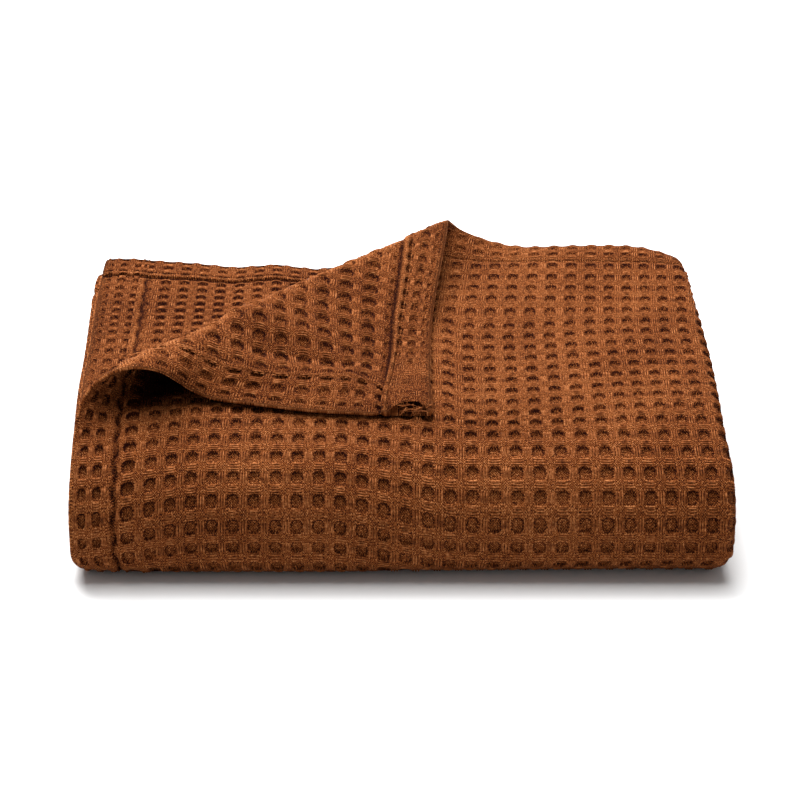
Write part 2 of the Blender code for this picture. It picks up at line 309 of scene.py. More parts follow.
def place_in_cloth(column, row):
    """The place in the flat sheet, in metres, of a place counted in cells."""
    u = np.interp(column, np.arange(len(COLUMNS)), COLUMNS)
    v = np.interp(row, np.arange(len(ROWS)), ROWS)
    # The end's edge is drawn in and out by the columns.
    scallop = 1.2 * MM * np.cos(2 * np.pi * column) * (1 - smooth(0, 4 * MM, v))
    v = v + scallop * smooth(0.2, 0.26, u) + flare(u, v)
    # The second ply's rows lie closer together, and its end in front of the outermost one's.
    closer = 5 * MM * smooth(0, 14 * MM, v - SEAM_ALONG) + 0.24 * np.clip(v - SEAM_ALONG, 0, 0.12)
    v = v + shortened(u) * np.clip(1 - (v - SEAM_ALONG) / 0.1, 0, 1)
    v = v - closer * smooth(1.0, 1.1, u) * (1 - smooth(0.15, 0.33, v))
    # The outermost ply's rows sag to the right of the turned corner, are drawn up in front of it,
    # and reach lower at the nose's foot.
    outermost = 1 - smooth(0.36, 0.42, u)
    leaning = smooth(0.12, 0.22, u) * outermost
    sagging = 10 * MM * (1 - smooth(0.235, 0.33, u)) * smooth(0.078, 0.108, v)
    sagging = sagging * (1 - smooth(0.195, 0.24, v))
    drawn_up = -9 * MM * smooth(0.0, 0.08, u) * (1 - smooth(0.135, 0.215, u)) * smooth(0.17, 0.23, v)
    at_foot = 2.8 * MM * smooth(0.15, 0.24, u) * smooth(0.245, 0.3, v)
    on_face = np.where(on_corner_line(u, v)[1] < 0, 1, 0)
    u = u + LEAN[0] * np.clip(LEAN[1] - v, 0, None) * leaning
    uncovered = outermost * (1 - smooth(0.32, 0.37, v)) * on_face
    v = v + (sagging * smooth(0.2, 0.22, u) + drawn_up + at_foot) * uncovered
    return u, askew(u, v)


def from_hems(u, v):
    """Distances from the nearer side hem and from the nearer end hem."""
    v = askew(u, v, -CUT_ASKEW)
    v = v - flare(u, v) - shortened(u)
    return np.minimum(u, ACROSS - u), np.minimum(v, ALONG - v)


# Soft troughs and ridges: from (u, v), to (u, v), how wide, and how far the face side is drawn in.
WRINKLES = np.array([
    (25, 55, 22, 120, 15, 6.5),  # the turned corner stands up along its lower hem's seam
    (38, 62, 41, 112, 7, -2.8),  # and is creased above it
    (60, 85, 66, 125, 9, 2.5),  # a second ridge under the roll
]) * MM


def billow(u, v):
    """How far the whole cloth is drawn towards its reverse by the wrinkles of the turned corner."""
    drawn = 0 * u
    for u_from, v_from, u_to, v_to, wide, drop in WRINKLES:
        run_u, run_v = u_to - u_from, v_to - v_from
        share = np.clip(((u - u_from) * run_u + (v - v_from) * run_v) / (run_u**2 + run_v**2), 0, 1)
        away = np.hypot(u - u_from - share * run_u, v - v_from - share * run_v)
        drawn = drawn + drop * hill(away, 0, wide)
    return drawn


CREST, CREST_SPREAD = math.radians(158), math.radians(17)  # the sheet's turn there, and around it


def crest(u, v):
    """How near a place of the reverse is to the top of the roll, where the cloth is pulled smooth."""
    along, beyond = on_corner_line(u, v)
    start, runs, _, _ = roll_runs(along)
    heading = runs[0][1] * np.clip(beyond - start, 0, runs[0][0])
    heading = heading + np.clip(beyond - start - runs[0][0], 0, runs[1][0]) * runs[1][1]
    return hill(heading, CREST, CREST_SPREAD) * (u < ACROSS / 2)


FACE, REVERSE = 1, -1


def seam_waver(u, v, side):
    """How far a side hem's seam wavers from its line, on the face or on the reverse."""
    if side == FACE:
        return 1.0 * MM * np.sin(2 * np.pi * v / (15 * MM)) * (u < 0.1)
    return 0.7 * MM * np.sin(2 * np.pi * v / (17 * MM))


HEM_RISE = 2.2 * MM  # the step from the cloth's reverse up to the turned end hem
SIDE_HEM_RISE = 0.3 * HEM_RISE


def thickness(u, v, side):
    """How far the cloth's face or reverse lies from the cloth's middle."""
    across, along = from_hems(u, v)
    past_side, past_end = across - SEAM_ACROSS - seam_waver(u, v, side), along - SEAM_ALONG
    w = np.full_like(u, CLOTH / 2)
    if side == FACE:
        for past, groove in ((past_side, 2.0), (past_end, 0.7)):
            w += -groove * MM * hill(past, 0, 0.9 * MM) - 0.5 * MM * hill(past, 0.5 * MM, 3 * MM)
            w += 0.45 * MM * hill(past, 9 * MM, 7 * MM)
            w += 0.6 * MM * np.sin(np.pi * np.clip(1 + past / SEAM_ACROSS, 0, 1))
    else:
        on_corner = u < ACROSS / 2  # and not on the second ply, whose hems are pressed flatter
        left = np.where(on_corner, u, ACROSS - u)
        shown = np.clip(on_corner_line(left, v)[1] / SEAM_ACROSS, 0, 1) * (v < HEMS_SHOWN)
        shown = shown * np.where(on_corner, 1, 0.45)
        # The end hem is turned and sewn last, so it lies over the side hem at the corner.
        beside = smooth(-1 * MM, 2 * MM, past_end)
        flat_top = 1 - 0.8 * crest(u, v)  # pulled flat over the top of the roll
        for past, rise, seen in (
            (past_end, HEM_RISE * flat_top, flat_top),
            (past_side, SIDE_HEM_RISE, np.where(on_corner, 0.4, 1) * beside),
        ):
            w += shown * rise * (1 - smooth(-0.5 * MM, 0.3 * MM, past))
            bead, dent = hill(past, -2.2 * MM, 1.3 * MM), hill(past, -4.6 * MM, 0.7 * MM)
            w += shown * seen * (0.7 * MM * bead - 0.9 * MM * dent)
            w += shown * seen * -1.6 * MM * hill(past, 1.1 * MM, 1.3 * MM)
    return w * (1 - 0.3 * hill(np.minimum(across, along), 0, 1.5 * MM))


def seam_shade_and_highlight(u, v, side):
    """The painted shade in the crease beside a hem's seam, or below 0 the painted highlight on the turned
    edge next to it and on the roll's crest.
    """
    across, along = from_hems(u, v)
    past_side, past_end = across - SEAM_ACROSS - seam_waver(u, v, side), along - SEAM_ALONG
    if side == FACE:
        # Painted shade in the groove of the side hem's seam, darkest where a pit meets it.
        row = np.interp(v, ROWS, np.arange(len(ROWS)))
        beads = 0.55 - 0.35 * np.cos(2 * np.pi * row)  # darkest where a pit meets the seam
        return beads * hill(past_side, 0, 1.4 * MM)
    beside = smooth(-1 * MM, 2 * MM, past_end)
    # A painted highlight on the roll's crest and on the turned edge's bead, and painted shade in the crease
    # beside each seam and in the dent.
    dark = -0.5 * crest(u, v)
    for past, seen in ((past_end, 1), (past_side, np.where(u < ACROSS / 2, 0.35, 0.8) * beside)):
        dark += seen * (hill(past, 1.0 * MM, 0.9 * MM) + 0.5 * hill(past, -4.6 * MM, 0.6 * MM))
        dark -= 0.3 * seen * hill(past, -2.2 * MM, 1.5 * MM)
    return dark


def depth_of_cells(u, v, side):
    """How deep the waffle stands at a place of the face or the reverse, from 0 to 1."""
    across, along = from_hems(u, v)
    seam = np.minimum(across - SEAM_ACROSS, along - SEAM_ALONG)
    edge = np.minimum(across, along)
    deep = smooth(1.5 * MM, 3.5 * MM, edge)
    if side == FACE:
        # Shallower on the end hem and most so in its outer row, deeper on the side hem.
        deep = deep * (1 - 0.35 * (along < SEAM_ALONG)) * (1 - 0.4 * (along < END_HEM_CELLS[2]))
        deep = deep * (1 + 0.25 * (across < SEAM_ACROSS))
        deep = deep * (1 + 0.4 * hill(across - SEAM_ACROSS, 6 * MM, 5 * MM))
        for past in (across - SEAM_ACROSS, along - SEAM_ALONG):
            deep = deep * np.where(abs(past + 1.2 * MM) < 2.9 * MM, 0, 1)
        return deep
    deep = deep * (1 - 0.7 * crest(u, v)) * np.where(seam < 0, 0.75, 1)
    strip = (along < SEAM_ALONG) & (u < HEMS_SHOWN)  # pulled smooth at the end hem's open end
    deep = deep * np.where(strip, 0.35 + 0.75 * smooth(0.03, 0.07, u), 1)
    on_hem, on_cloth = smooth(1 * MM, 3.5 * MM, -seam - 1 * MM), smooth(1.5 * MM, 4.5 * MM, seam)
    return deep * np.where(seam < 0, on_hem, on_cloth)


def open_end(u, v):
    """How far the upper lip of the turned corner's hem is drawn back at its open end."""
    v = v - flare(u, v)
    return 5 * MM * smooth(0.5 * MM, 6 * MM, v) * (1 - smooth(8 * MM, 20 * MM, v)) * (u < 0.05)


def inside_roll(u, v):
    """How far a place of the face is hidden from the light in the roll, from 0 to 1. It is painted as shade
    into the cloth's colour.
    """
    along, beyond = on_corner_line(u, v)
    depth = smooth(-3 * MM, 10 * MM, beyond - roll_runs(along)[0]) * smooth(24 * MM, 44 * MM, u)
    return depth * (1 - smooth(0.08, 0.13, along)) * (u < ACROSS / 2)


ROUNDNESS = 2.6  # of a pit's outline, between 2 for an ellipse and a square's corners


def rounded(column, row, shift, where):
    """Draw the lines of points round a pit from squares into its rounded outline."""
    a, b = (column + shift) % 1 - 0.5, (row + shift) % 1 - 0.5
    square = np.maximum(abs(a), abs(b)) + 1e-9
    round_one = (abs(a) ** ROUNDNESS + abs(b) ** ROUNDNESS) ** (1 / ROUNDNESS) + 1e-9
    change = where * (1 - smooth(0.3, 0.46, square)) * (square / round_one - 1)
    return column + a * change, row + b * change


REVERSE_ASIDE = 2.0  # how far aside of the face, in metres, the reverse lies on the cloth's flat map
HEM_TURNS = {2: 45, 3: 90, 4: 135}  # the layers round a hem's edge, and how far round it they lie


class Net:
    """The points and faces of a closed piece of cloth. A point is known by the two lines of points
    that cross there and by its layer: the face, the reverse, or one round a hem's turned edge."""

    def __init__(self, columns, rows, lines):
        self.columns, self.rows, self.lines = columns, rows, lines
        self.where, self.ids, self.faces = [], {}, []
        self.worked, self.edges = set(), {}

    def point(self, place, layer):
        """A point's number. It is made when it is first asked for."""
        key = (*place, layer)
        if key not in self.ids:
            self.ids[key] = len(self.where)
            self.where.append(key)
        return self.ids[key]

    def border(self, i, j, level, fine):
        """The places along a cell's border, upright at its left or level at its start."""
        n = self.lines
        steps = range(n + 1) if fine else (0, n)
        return [(i * n + step, j * n) if level else (i * n, j * n + step) for step in steps]

    def fine_cell(self, i, j, side):
        """A cell that shows, with the lines of points that its pit is pressed into."""
        n = self.lines
        grid = [[self.point((i * n + a, j * n + b), side) for b in range(n + 1)] for a in range(n + 1)]
        self.worked.update(sum(grid, []))
        for a in range(n):
            for b in range(n):
                quad = (grid[a][b], grid[a + 1][b], grid[a + 1][b + 1], grid[a][b + 1])
                self.faces.append(quad[::-1] if side == FACE else quad)

    def plain_cell(self, i, j, side, upright, level):
        """A cell that doesn't show: one face, or a fan where a neighbour is finely divided."""
        ring = self.border(i, j, True, level[i, j])[:-1]
        ring += self.border(i + 1, j, False, upright[i + 1, j])[:-1]
        ring += self.border(i, j + 1, True, level[i, j + 1])[:0:-1]
        ring += self.border(i, j, False, upright[i, j])[:0:-1]
        ring = [self.point(place, side) for place in ring]
        if len(ring) == 4:
            self.faces.append(tuple(ring[::-1] if side == FACE else ring))
            return
        n = self.lines
        middle = self.point((i * n + n // 2, j * n + n // 2), side)
        for a, b in zip(ring, ring[1:] + ring[:1]):
            self.faces.append((middle, b, a) if side == FACE else (middle, a, b))

    def round_edge(self, place):
        """The points from the face round to the reverse. A hem's edge is a turned fold, so it has
        three more."""
        if place not in self.edges:
            at_hem = place[0] in (0, self.columns * self.lines) or place[1] in (0, self.rows * self.lines)
            layers = [FACE, *(HEM_TURNS if at_hem else ()), REVERSE]
            self.edges[place] = [self.point(place, layer) for layer in layers]
        return self.edges[place]

    def close(self, places):
        """The faces that close the cloth's edge along these places."""
        for here, there in zip(places, places[1:]):
            one, two = self.round_edge(here), self.round_edge(there)
            if len(one) == len(two):
                for k in range(len(one) - 1):
                    self.faces.append((one[k], two[k], two[k + 1], one[k + 1]))
            else:
                self.faces.append(tuple(two + one[::-1]))


def bordering(shown):
    """Which upright borders between cells, and which level ones, touch a cell that shows."""
    shown = np.pad(shown, 1)
    return [shown[:-1, 1:-1] | shown[1:, 1:-1], shown[1:-1, :-1] | shown[1:-1, 1:]]


def net_of_cells(taken, face_shown, reverse_shown, lines):
    """The net of the cells that are taken, fine where they show on the face or the reverse."""
    columns, rows = taken.shape
    net = Net(columns, rows, lines)
    padded = np.pad(taken, 1)
    cuts = (padded[:-1, 1:-1] != padded[1:, 1:-1], padded[1:-1, :-1] != padded[1:-1, 1:])
    fine = {FACE: bordering(face_shown & taken), REVERSE: bordering(reverse_shown & taken)}
    for level, cut in enumerate(cuts):
        both = (fine[FACE][level] | fine[REVERSE][level]) & cut
        fine[FACE][level] |= both
        fine[REVERSE][level] |= both
    for side, shown in ((FACE, face_shown & taken), (REVERSE, reverse_shown & taken)):
        for i, j in zip(*np.nonzero(taken)):
            if shown[i, j]:
                net.fine_cell(i, j, side)
            else:
                net.plain_cell(i, j, side, *fine[side])
    for level, cut in enumerate(cuts):
        for i, j in zip(*np.nonzero(cut)):
            places = net.border(i, j, level, fine[FACE][level][i, j])
            begins = i < columns and j < rows and taken[i, j]  # else the cloth ends here
            net.close(places[::-1] if bool(level) != bool(begins) else places)
    return net


def at_hem_edge(u, v, lip, out_u, out_v, turn):
    """The places of the points this far round a hem's turned edge, from the face to the reverse."""
    face = sheet_point(u, v, thickness(u, v, FACE) - billow(u, v))
    reverse = sheet_point(u + lip, v, -thickness(u, v, REVERSE) - billow(u, v))
    step = 0.2 * MM
    out = sheet_point(u, v, 0.0 * u) - sheet_point(u - step * out_u, v - step * out_v, 0.0 * u)
    out /= np.linalg.norm(out, axis=1, keepdims=True)
    half = (face - reverse) / 2
    size = np.linalg.norm(half, axis=1, keepdims=True)
    outward = np.where(lip > 0.5 * MM, -1.2, 1.0)[:, None] * size  # inward between the open lips
    return (face + reverse) / 2 + half * math.cos(turn) + out * outward * math.sin(turn)


def cloth_piece(name, taken, face_shown, reverse_shown, splits):
    """A closed piece of the sheet from the cells that are taken, with these splits across a cell
    where it shows."""
    columns, rows = taken.shape
    lines_u = np.concatenate([(np.arange(columns)[:, None] + splits[:-1]).ravel(), [columns]])
    lines_v = np.concatenate([(np.arange(rows)[:, None] + splits[:-1]).ravel(), [rows]])
    net = net_of_cells(taken, face_shown, reverse_shown, len(splits) - 1)
    where = np.array(net.where)
    column, row, layer = lines_u[where[:, 0]], lines_v[where[:, 1]], where[:, 2]
    shift = np.where(layer == REVERSE, 0.5, 0.0)  # the reverse's pits lie behind the face's plates
    pressed = np.isin(np.arange(len(where)), list(net.worked))
    column, row = rounded(column, row, shift, pressed)
    u, v = place_in_cloth(column, row)
    lip = open_end(u, v) * (1 - smooth(0, 12 * MM, u))  # of the reverse, at the hem's open end
    u = u + np.where(layer == REVERSE, lip, 0)

    # The layers round a hem's edge get painted shade at the turned corner's open end, where its lip is
    # drawn back; the face and the reverse get the seams' painted shade and highlight.
    places, deep, crease = np.zeros((len(u), 3)), np.zeros(len(u)), lip / (4 * MM)
    for side in (FACE, REVERSE):
        own = layer == side
        own_u, own_v = u[own], v[own]
        own_w = side * thickness(own_u, own_v, side) - billow(own_u, own_v)
        places[own] = sheet_point(own_u, own_v, own_w)
        deep[own] = depth_of_cells(own_u, own_v, side)
        crease[own] = seam_shade_and_highlight(own_u, own_v, side)
    for turned_layer, turn in HEM_TURNS.items():
        own = layer == turned_layer
        out_u = 1.0 * (column[own] == columns) - (column[own] == 0)
        out_v = 1.0 * (row[own] == rows) - (row[own] == 0)
        places[own] = at_hem_edge(u[own], v[own], lip[own], out_u, out_v, math.radians(turn))
    places[:, 2] = np.maximum(places[:, 2], 0.2 * MM)  # pressed flat on what it lies on
    deep[~pressed] = 0
    inner = (u > PLIES[0][0] + 0.02) & (u < ACROSS - 0.28) & ~at_downward_fold(u, v)
    deep[inner] *= 0.4  # worn flat on the inner folds

    mesh = bpy.data.meshes.new(name)
    mesh.from_pydata(places.tolist(), [], net.faces)
    mesh.shade_smooth()
    weave = mesh.attributes.new("weave", "FLOAT_VECTOR", "POINT")
    weave.data.foreach_set("vector", np.stack([column + shift, row + shift, deep], axis=1).ravel())
    # Painted shade inside the roll, handed to the cloth's colour as the attribute inside.
    painted_roll_shade = (layer == FACE) * inside_roll(u, v)
    mesh.attributes.new("inside", "FLOAT", "POINT").data.foreach_set("value", painted_roll_shade)
    mesh.attributes.new("crease", "FLOAT", "POINT").data.foreach_set("value", crease)
    corners = np.zeros(len(mesh.loops), dtype=np.int32)
    mesh.loops.foreach_get("vertex_index", corners)
    flat_places = np.stack([u + np.where(layer > 0, 0, REVERSE_ASIDE), v], axis=1)[corners]
    mesh.uv_layers.new(name="cloth").data.foreach_set("uv", flat_places.ravel())
    piece = bpy.data.objects.new(name, mesh)
    bpy.context.collection.objects.link(piece)
    return piece


class Sum:
    """A socket of a node tree, so that what it carries can be added and multiplied as written."""

    def __init__(self, tree, socket=None):
        self.tree, self.socket = tree, socket

    def node(self, kind, settings=(), values=(), output=0):
        """A node of this type: its settings first, then the values or links of its sockets."""
        made = self.tree.nodes.new(kind)
        for name, setting in dict(settings).items():
            if name == "stops":
                for _ in setting[2:]:
                    made.color_ramp.elements.new(0.5)
                for stop, (place, colour) in zip(made.color_ramp.elements, setting):
                    stop.position, stop.color = place, colour
            else:
                setattr(made, name, setting)
        for name, value in dict(values).items():
            if isinstance(value, Sum):
                self.tree.links.new(value.socket, made.inputs[name])
            else:
                made.inputs[name].default_value = value
        return Sum(self.tree, made.outputs[output]) if made.outputs else made

    def maths(self, operation, *values):
        return self.node("ShaderNodeMath", {"operation": operation}, enumerate(values))

    def __add__(self, other):
        return self.maths("ADD", self, other)

    def __sub__(self, other):
        return self.maths("SUBTRACT", self, other)

    def __rsub__(self, other):
        return self.maths("SUBTRACT", other, self)

    def __mul__(self, other):
        return self.maths("MULTIPLY", self, other)

    def __truediv__(self, other):
        return self.maths("DIVIDE", self, other)

    def __pow__(self, other):
        return self.maths("POWER", self, other)

    __radd__, __rmul__ = __add__, __mul__

    def off_middle(self):
        """How far a place counted in cells is from the middle of its cell."""
        off = self.maths("FRACT", self) - 0.5
        return off.maths("ABSOLUTE", off)

    def part(self, index):
        """One of the three numbers of a vector."""
        return self.node("ShaderNodeSeparateXYZ", (), {0: self}, index)

    def from_to(self, low, high, start=0.0, end=1.0):
        """The value eased from start to end as it goes from low to high."""
        settings = {"interpolation_type": "SMOOTHSTEP"}
        return self.node("ShaderNodeMapRange", settings, {0: self, 1: low, 2: high, 3: start, 4: end})


PIT_WIDTH, PIT_LENGTH = 0.27, 0.28  # half of a pit's, as shares of a cell
PLATE = 0.27  # half of a plate's width, as a share of a cell


def begun(name, sockets, result):
    """A new tree of nodes with these named sizes, and the sizes as sums."""
    tree = bpy.data.node_groups.new(name, "GeometryNodeTree")
    for label, kind, *value in sockets:
        socket = tree.interface.new_socket(label, in_out="INPUT", socket_type="NodeSocket" + kind)
        if value:
            socket.default_value = value[0]
    tree.interface.new_socket(result, in_out="OUTPUT", socket_type="NodeSocketGeometry")
    start = tree.nodes.new("NodeGroupInput")
    return tree, {socket.name: Sum(tree, socket) for socket in start.outputs if socket.name}


def ended(tree, shape, finish):
    """End a tree: its shape made real and given its finish."""
    make = Sum(tree)
    whole = make.node("GeometryNodeRealizeInstances", (), {"Geometry": shape})
    done = make.node("GeometryNodeSetMaterial", (), {"Geometry": whole, "Material": finish})
    tree.links.new(done.socket, tree.nodes.new("NodeGroupOutput").inputs[0])
    return tree


def waffle_relief():
    """The tree that presses the pits of the weave into the cloth and raises the plates between."""
    sockets = [
        ("Cloth", "Geometry"), ("Pit depth", "Float", 1.65 * MM), ("Pit width", "Float", PIT_WIDTH),
        ("Pit length", "Float", PIT_LENGTH), ("Plate rise", "Float", 0.25 * MM),
        ("Unevenness", "Float", 0.3), ("Seed", "Float", 4.0), ("Finish", "Material"),
    ]
    tree, given = begun("waffle relief", sockets, "Cloth")
    make = Sum(tree)
    weave = make.node("GeometryNodeInputNamedAttribute", {"data_type": "FLOAT_VECTOR"}, {"Name": "weave"})
    column, row, deep = weave.part(0), weave.part(1), weave.part(2)
    off_u, off_v = column.off_middle(), row.off_middle()
    cell = make.node("ShaderNodeCombineXYZ", (), {0: column.maths("FLOOR", column),
                     1: row.maths("FLOOR", row), 2: given["Seed"]})
    chance = make.node("ShaderNodeTexWhiteNoise", {"noise_dimensions": "3D"}, {"Vector": cell}) - 0.5
    chance = chance * given["Unevenness"]
    wide = given["Pit width"] * (chance * 0.3 + 1)
    reach = (off_u / wide) ** ROUNDNESS + (off_v / given["Pit length"]) ** ROUNDNESS
    reach = reach ** (1 / ROUNDNESS)
    pit = reach.from_to(0.78, 1.08, 1.0, 0.0)
    plate = ((0.5 - off_u) / PLATE) ** 2 + ((0.5 - off_v) / PLATE) ** 2
    plate = plate.from_to(0.0, 1.4, 1.0, 0.0)
    height = given["Plate rise"] * plate - given["Pit depth"] * (chance + 1) * pit
    outward = make.node("GeometryNodeInputNormal")
    offset = make.node("ShaderNodeVectorMath", {"operation": "SCALE"}, {0: outward, "Scale": height * deep})
    pressed = make.node("GeometryNodeSetPosition", (), {"Geometry": given["Cloth"], "Offset": offset})
    return ended(tree, pressed, given["Finish"])


THREADS_ACROSS, THREADS_ALONG = 7.9, 8.1  # threads in a cell's width and in its length


def new_finish(name, roughness, shine):
    """A new material, with its shader and the maker of its nodes."""
    material = bpy.data.materials.new(name)
    material.use_nodes = True
    shader = material.node_tree.nodes["Principled BSDF"]
    shader.inputs["Roughness"].default_value = roughness
    shader.inputs["Specular IOR Level"].default_value = shine
    return material, shader, Sum(material.node_tree)


def cotton():
    """Rust coloured cotton, heathered, its threads seen one by one on the bars between the pits. Shade in
    the pits, inside the roll and beside the hems' seams, and highlights on the threads, the turned edges
    and the roll's crest, are painted into its colour.
    """
    material, shader, make = new_finish("rust cotton", 0.92, 0.05)
    weave = make.node("ShaderNodeAttribute", {"attribute_name": "weave"}, (), "Vector")
    flat = make.node("ShaderNodeUVMap", {"uv_map": "cloth"})
    column, row, deep = weave.part(0), weave.part(1), weave.part(2)
    u, v = flat.part(0), flat.part(1)
    off_u, off_v = column.off_middle(), row.off_middle()
    reach = (off_u / PIT_WIDTH) ** ROUNDNESS + (off_v / PIT_LENGTH) ** ROUNDNESS
    reach = reach ** (1 / ROUNDNESS)
    # Painted shade: a little on the pit floors, more round each pit's rim, and most at its upper side,
    # where the shadow falls.
    pit = reach.from_to(0.75, 0.9, 1.0, 0.0) * deep
    pit_rim_shade = reach.from_to(0.68, 0.86) * reach.from_to(1.0, 1.12, 1.0, 0.0) * deep
    upper = (row.maths("FRACT", row) - 0.5).from_to(-0.2, 0.2, 1.0, 0.55)

    # Threads: three floats on each bar, and a fine plain weave on the plates and the floors.
    def wave(value, times):
        turned = value * (2 * math.pi * times)
        return turned.maths("COSINE", turned)

    warp, weft = wave(column, THREADS_ACROSS) * 0.5 + 0.5, wave(row, THREADS_ALONG) * 0.5 + 0.5
    warp_bar = off_u.from_to(0.27, 0.33) * off_v.from_to(0.20, 0.30, 1.0, 0.0)
    weft_bar = off_v.from_to(0.27, 0.33) * off_u.from_to(0.20, 0.30, 1.0, 0.0)

    def streaks(across, along, seed, detail=1.0):
        place = make.node("ShaderNodeCombineXYZ", (), {0: u / across, 1: v / along, 2: seed})
        return make.node("ShaderNodeTexNoise", (), {"Vector": place, "Scale": 1.0, "Detail": detail})

    slip = streaks(6 * MM, 6 * MM, 7.0) * 0.8 * MM
    plain = wave((u + slip) / MM, 1 / 1.3) * wave((v + slip) / MM, 1 / 1.35) * 0.5 + 0.5
    ridges = plain + warp_bar * (warp - plain) + weft_bar * (weft - plain)
    speck = streaks(0.75 * MM, 0.85 * MM, 1.0, 2.0)
    heather = streaks(0.9 * MM, 4.5 * MM, 2.0) * 0.5 + streaks(4.5 * MM, 0.9 * MM, 3.0) * 0.5
    patch = streaks(45 * MM, 60 * MM, 5.0)
    # The threads' ridges are painted lighter and the gaps between them darker, as painted highlight and
    # shade, as well as bumped.
    light = 0.5 * ridges + 1.2 * (heather - 0.5) + 2.4 * (speck - 0.5) + 0.5 * (patch - 0.5)
    # The painted shade inside the roll.
    inside = make.node("ShaderNodeAttribute", {"attribute_name": "inside"}, (), "Fac")
    reverse = u.from_to(REVERSE_ASIDE - 0.1, REVERSE_ASIDE)
    # The painted shade and highlight by the hems' seams, on the roll's crest and in the hem's open end.
    crease = make.node("ShaderNodeAttribute", {"attribute_name": "crease"}, (), "Fac")
    # Painted shade darkens the colour in the pits, inside the roll and by the seams; where the seams'
    # shading is below 0 it lightens it as a painted highlight.
    light = light + 0.2 - 0.02 * pit - 0.38 * pit_rim_shade * upper - 0.85 * inside - 0.1 * reverse - 0.6 * crease
    colour = make.node("ShaderNodeValToRGB", {"stops": [
        (0.0, (0.016, 0.002, 0.0005, 1)), (0.4, (0.135, 0.034, 0.0075, 1)),
        (0.7, (0.25, 0.074, 0.019, 1)), (1.0, (0.48, 0.185, 0.065, 1))]}, {"Fac": light})
    height = ridges * 0.8 + speck * 0.9 + heather * 0.4
    bump = make.node("ShaderNodeBump", (), {"Height": height, "Strength": 1.0, "Distance": 0.6 * MM})
    make.tree.links.new(colour.socket, shader.inputs["Base Color"])
    make.tree.links.new(bump.socket, shader.inputs["Normal"])
    return material


RELIEF, COTTON = waffle_relief(), cotton()


def worked(piece, tree, **sizes):
    """Work a piece with a tree of nodes, with these sizes on it, and leave it a plain mesh."""
    work = piece.modifiers.new("work", "NODES")
    work.node_group = tree
    for socket in tree.interface.items_tree:
        if socket.in_out == "INPUT" and socket.name.replace(" ", "_") in sizes:
            work[socket.identifier] = sizes[socket.name.replace(" ", "_")]
    bpy.context.view_layer.update()
    made = bpy.data.meshes.new_from_object(piece.evaluated_get(bpy.context.evaluated_depsgraph_get()))
    piece.modifiers.remove(work)
    plain, piece.data = piece.data, made
    bpy.data.meshes.remove(plain)
    made.name = piece.name
    places = np.zeros(3 * len(made.vertices), dtype=np.float32)
    made.vertices.foreach_get("co", places)
    places[2::3] = np.maximum(places[2::3], 0)  # nothing reaches below what it lies on
    made.vertices.foreach_set("co", places)
    return piece


# Where a cell that shows is split: closest at its pit's wall.
FINE = np.array([0, 0.115, 0.21, 0.29, 0.43, 0.57, 0.71, 0.79, 0.885, 1])
OUTER_SIZE, SECOND_SIZE = (0.373, 0.319), (0.262, 0.319)  # flat, across and along, in metres

# The middles of all the cells, and where each lies on the roll and under the turned corner.
cell_u, cell_v = place_in_cloth(
    *np.meshgrid(np.arange(len(COLUMNS) - 1) + 0.5, np.arange(len(ROWS) - 1) + 0.5, indexing="ij")
)
line_along, line_beyond = on_corner_line(cell_u, cell_v)
lift_line, _, roll_length, roll_across = roll_runs(line_along)
rolled_up = line_beyond - lift_line
flap_u, flap_v = off_corner_line(
    line_along, lift_line + roll_length + lift_line + roll_across - line_beyond
)
covered = (np.minimum(flap_u, flap_v) > 14 * MM) & (line_beyond < lift_line + roll_across)
covered &= (line_along > 60 * MM) & (line_along < 215 * MM)
# The inside of the roll shows at its two ends.
open_mouth = (rolled_up < 60 * MM) & (line_along < 60 * MM)
raised_end = (rolled_up < 58 * MM) & (line_along > 190 * MM)

right_turned = PLIES[0][0] + PLIES[1][0] + 4 * MM  # just past the fold at the right
nose_turned = PASS_ENDS[5]  # where the nose's foot comes level
outer = (cell_u < right_turned) & (cell_v < nose_turned)
outer_face = ((rolled_up < 8 * MM) | open_mouth | raised_end) & ~covered
outer_reverse = rolled_up > 14 * MM
outer_ply = cloth_piece("outer_ply", outer, outer_face, outer_reverse, FINE)
worked(outer_ply, RELIEF, Finish=COTTON)
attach(outer_ply, "root")
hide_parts("blanket")

# ---- The outermost ply's threads ----
# Cotton yarn. Three float threads lie loose on each bar between the pits, woven in at their ends.
# One line of small stitches holds each hem, and cut ends fray out of the turned corner's open hem.


def laid_threads():
    """The tree that turns guide lines into threads of cotton with closed ends."""
    sockets = [("Guides", "Geometry"), ("Thickness", "Float"), ("Sides", "Int"), ("Finish", "Material")]
    tree, given = begun("laid threads", sockets, "Threads")
    make = Sum(tree)
    lines = make.node("GeometryNodeMeshToCurve", (), {"Mesh": given["Guides"]})
    ring = make.node("GeometryNodeCurvePrimitiveCircle", (), {
        "Resolution": given["Sides"], "Radius": given["Thickness"] * 0.5})
    tubes = make.node("GeometryNodeCurveToMesh", (), {
        "Curve": lines, "Profile Curve": ring, "Fill Caps": True})
    return ended(tree, tubes, given["Finish"])


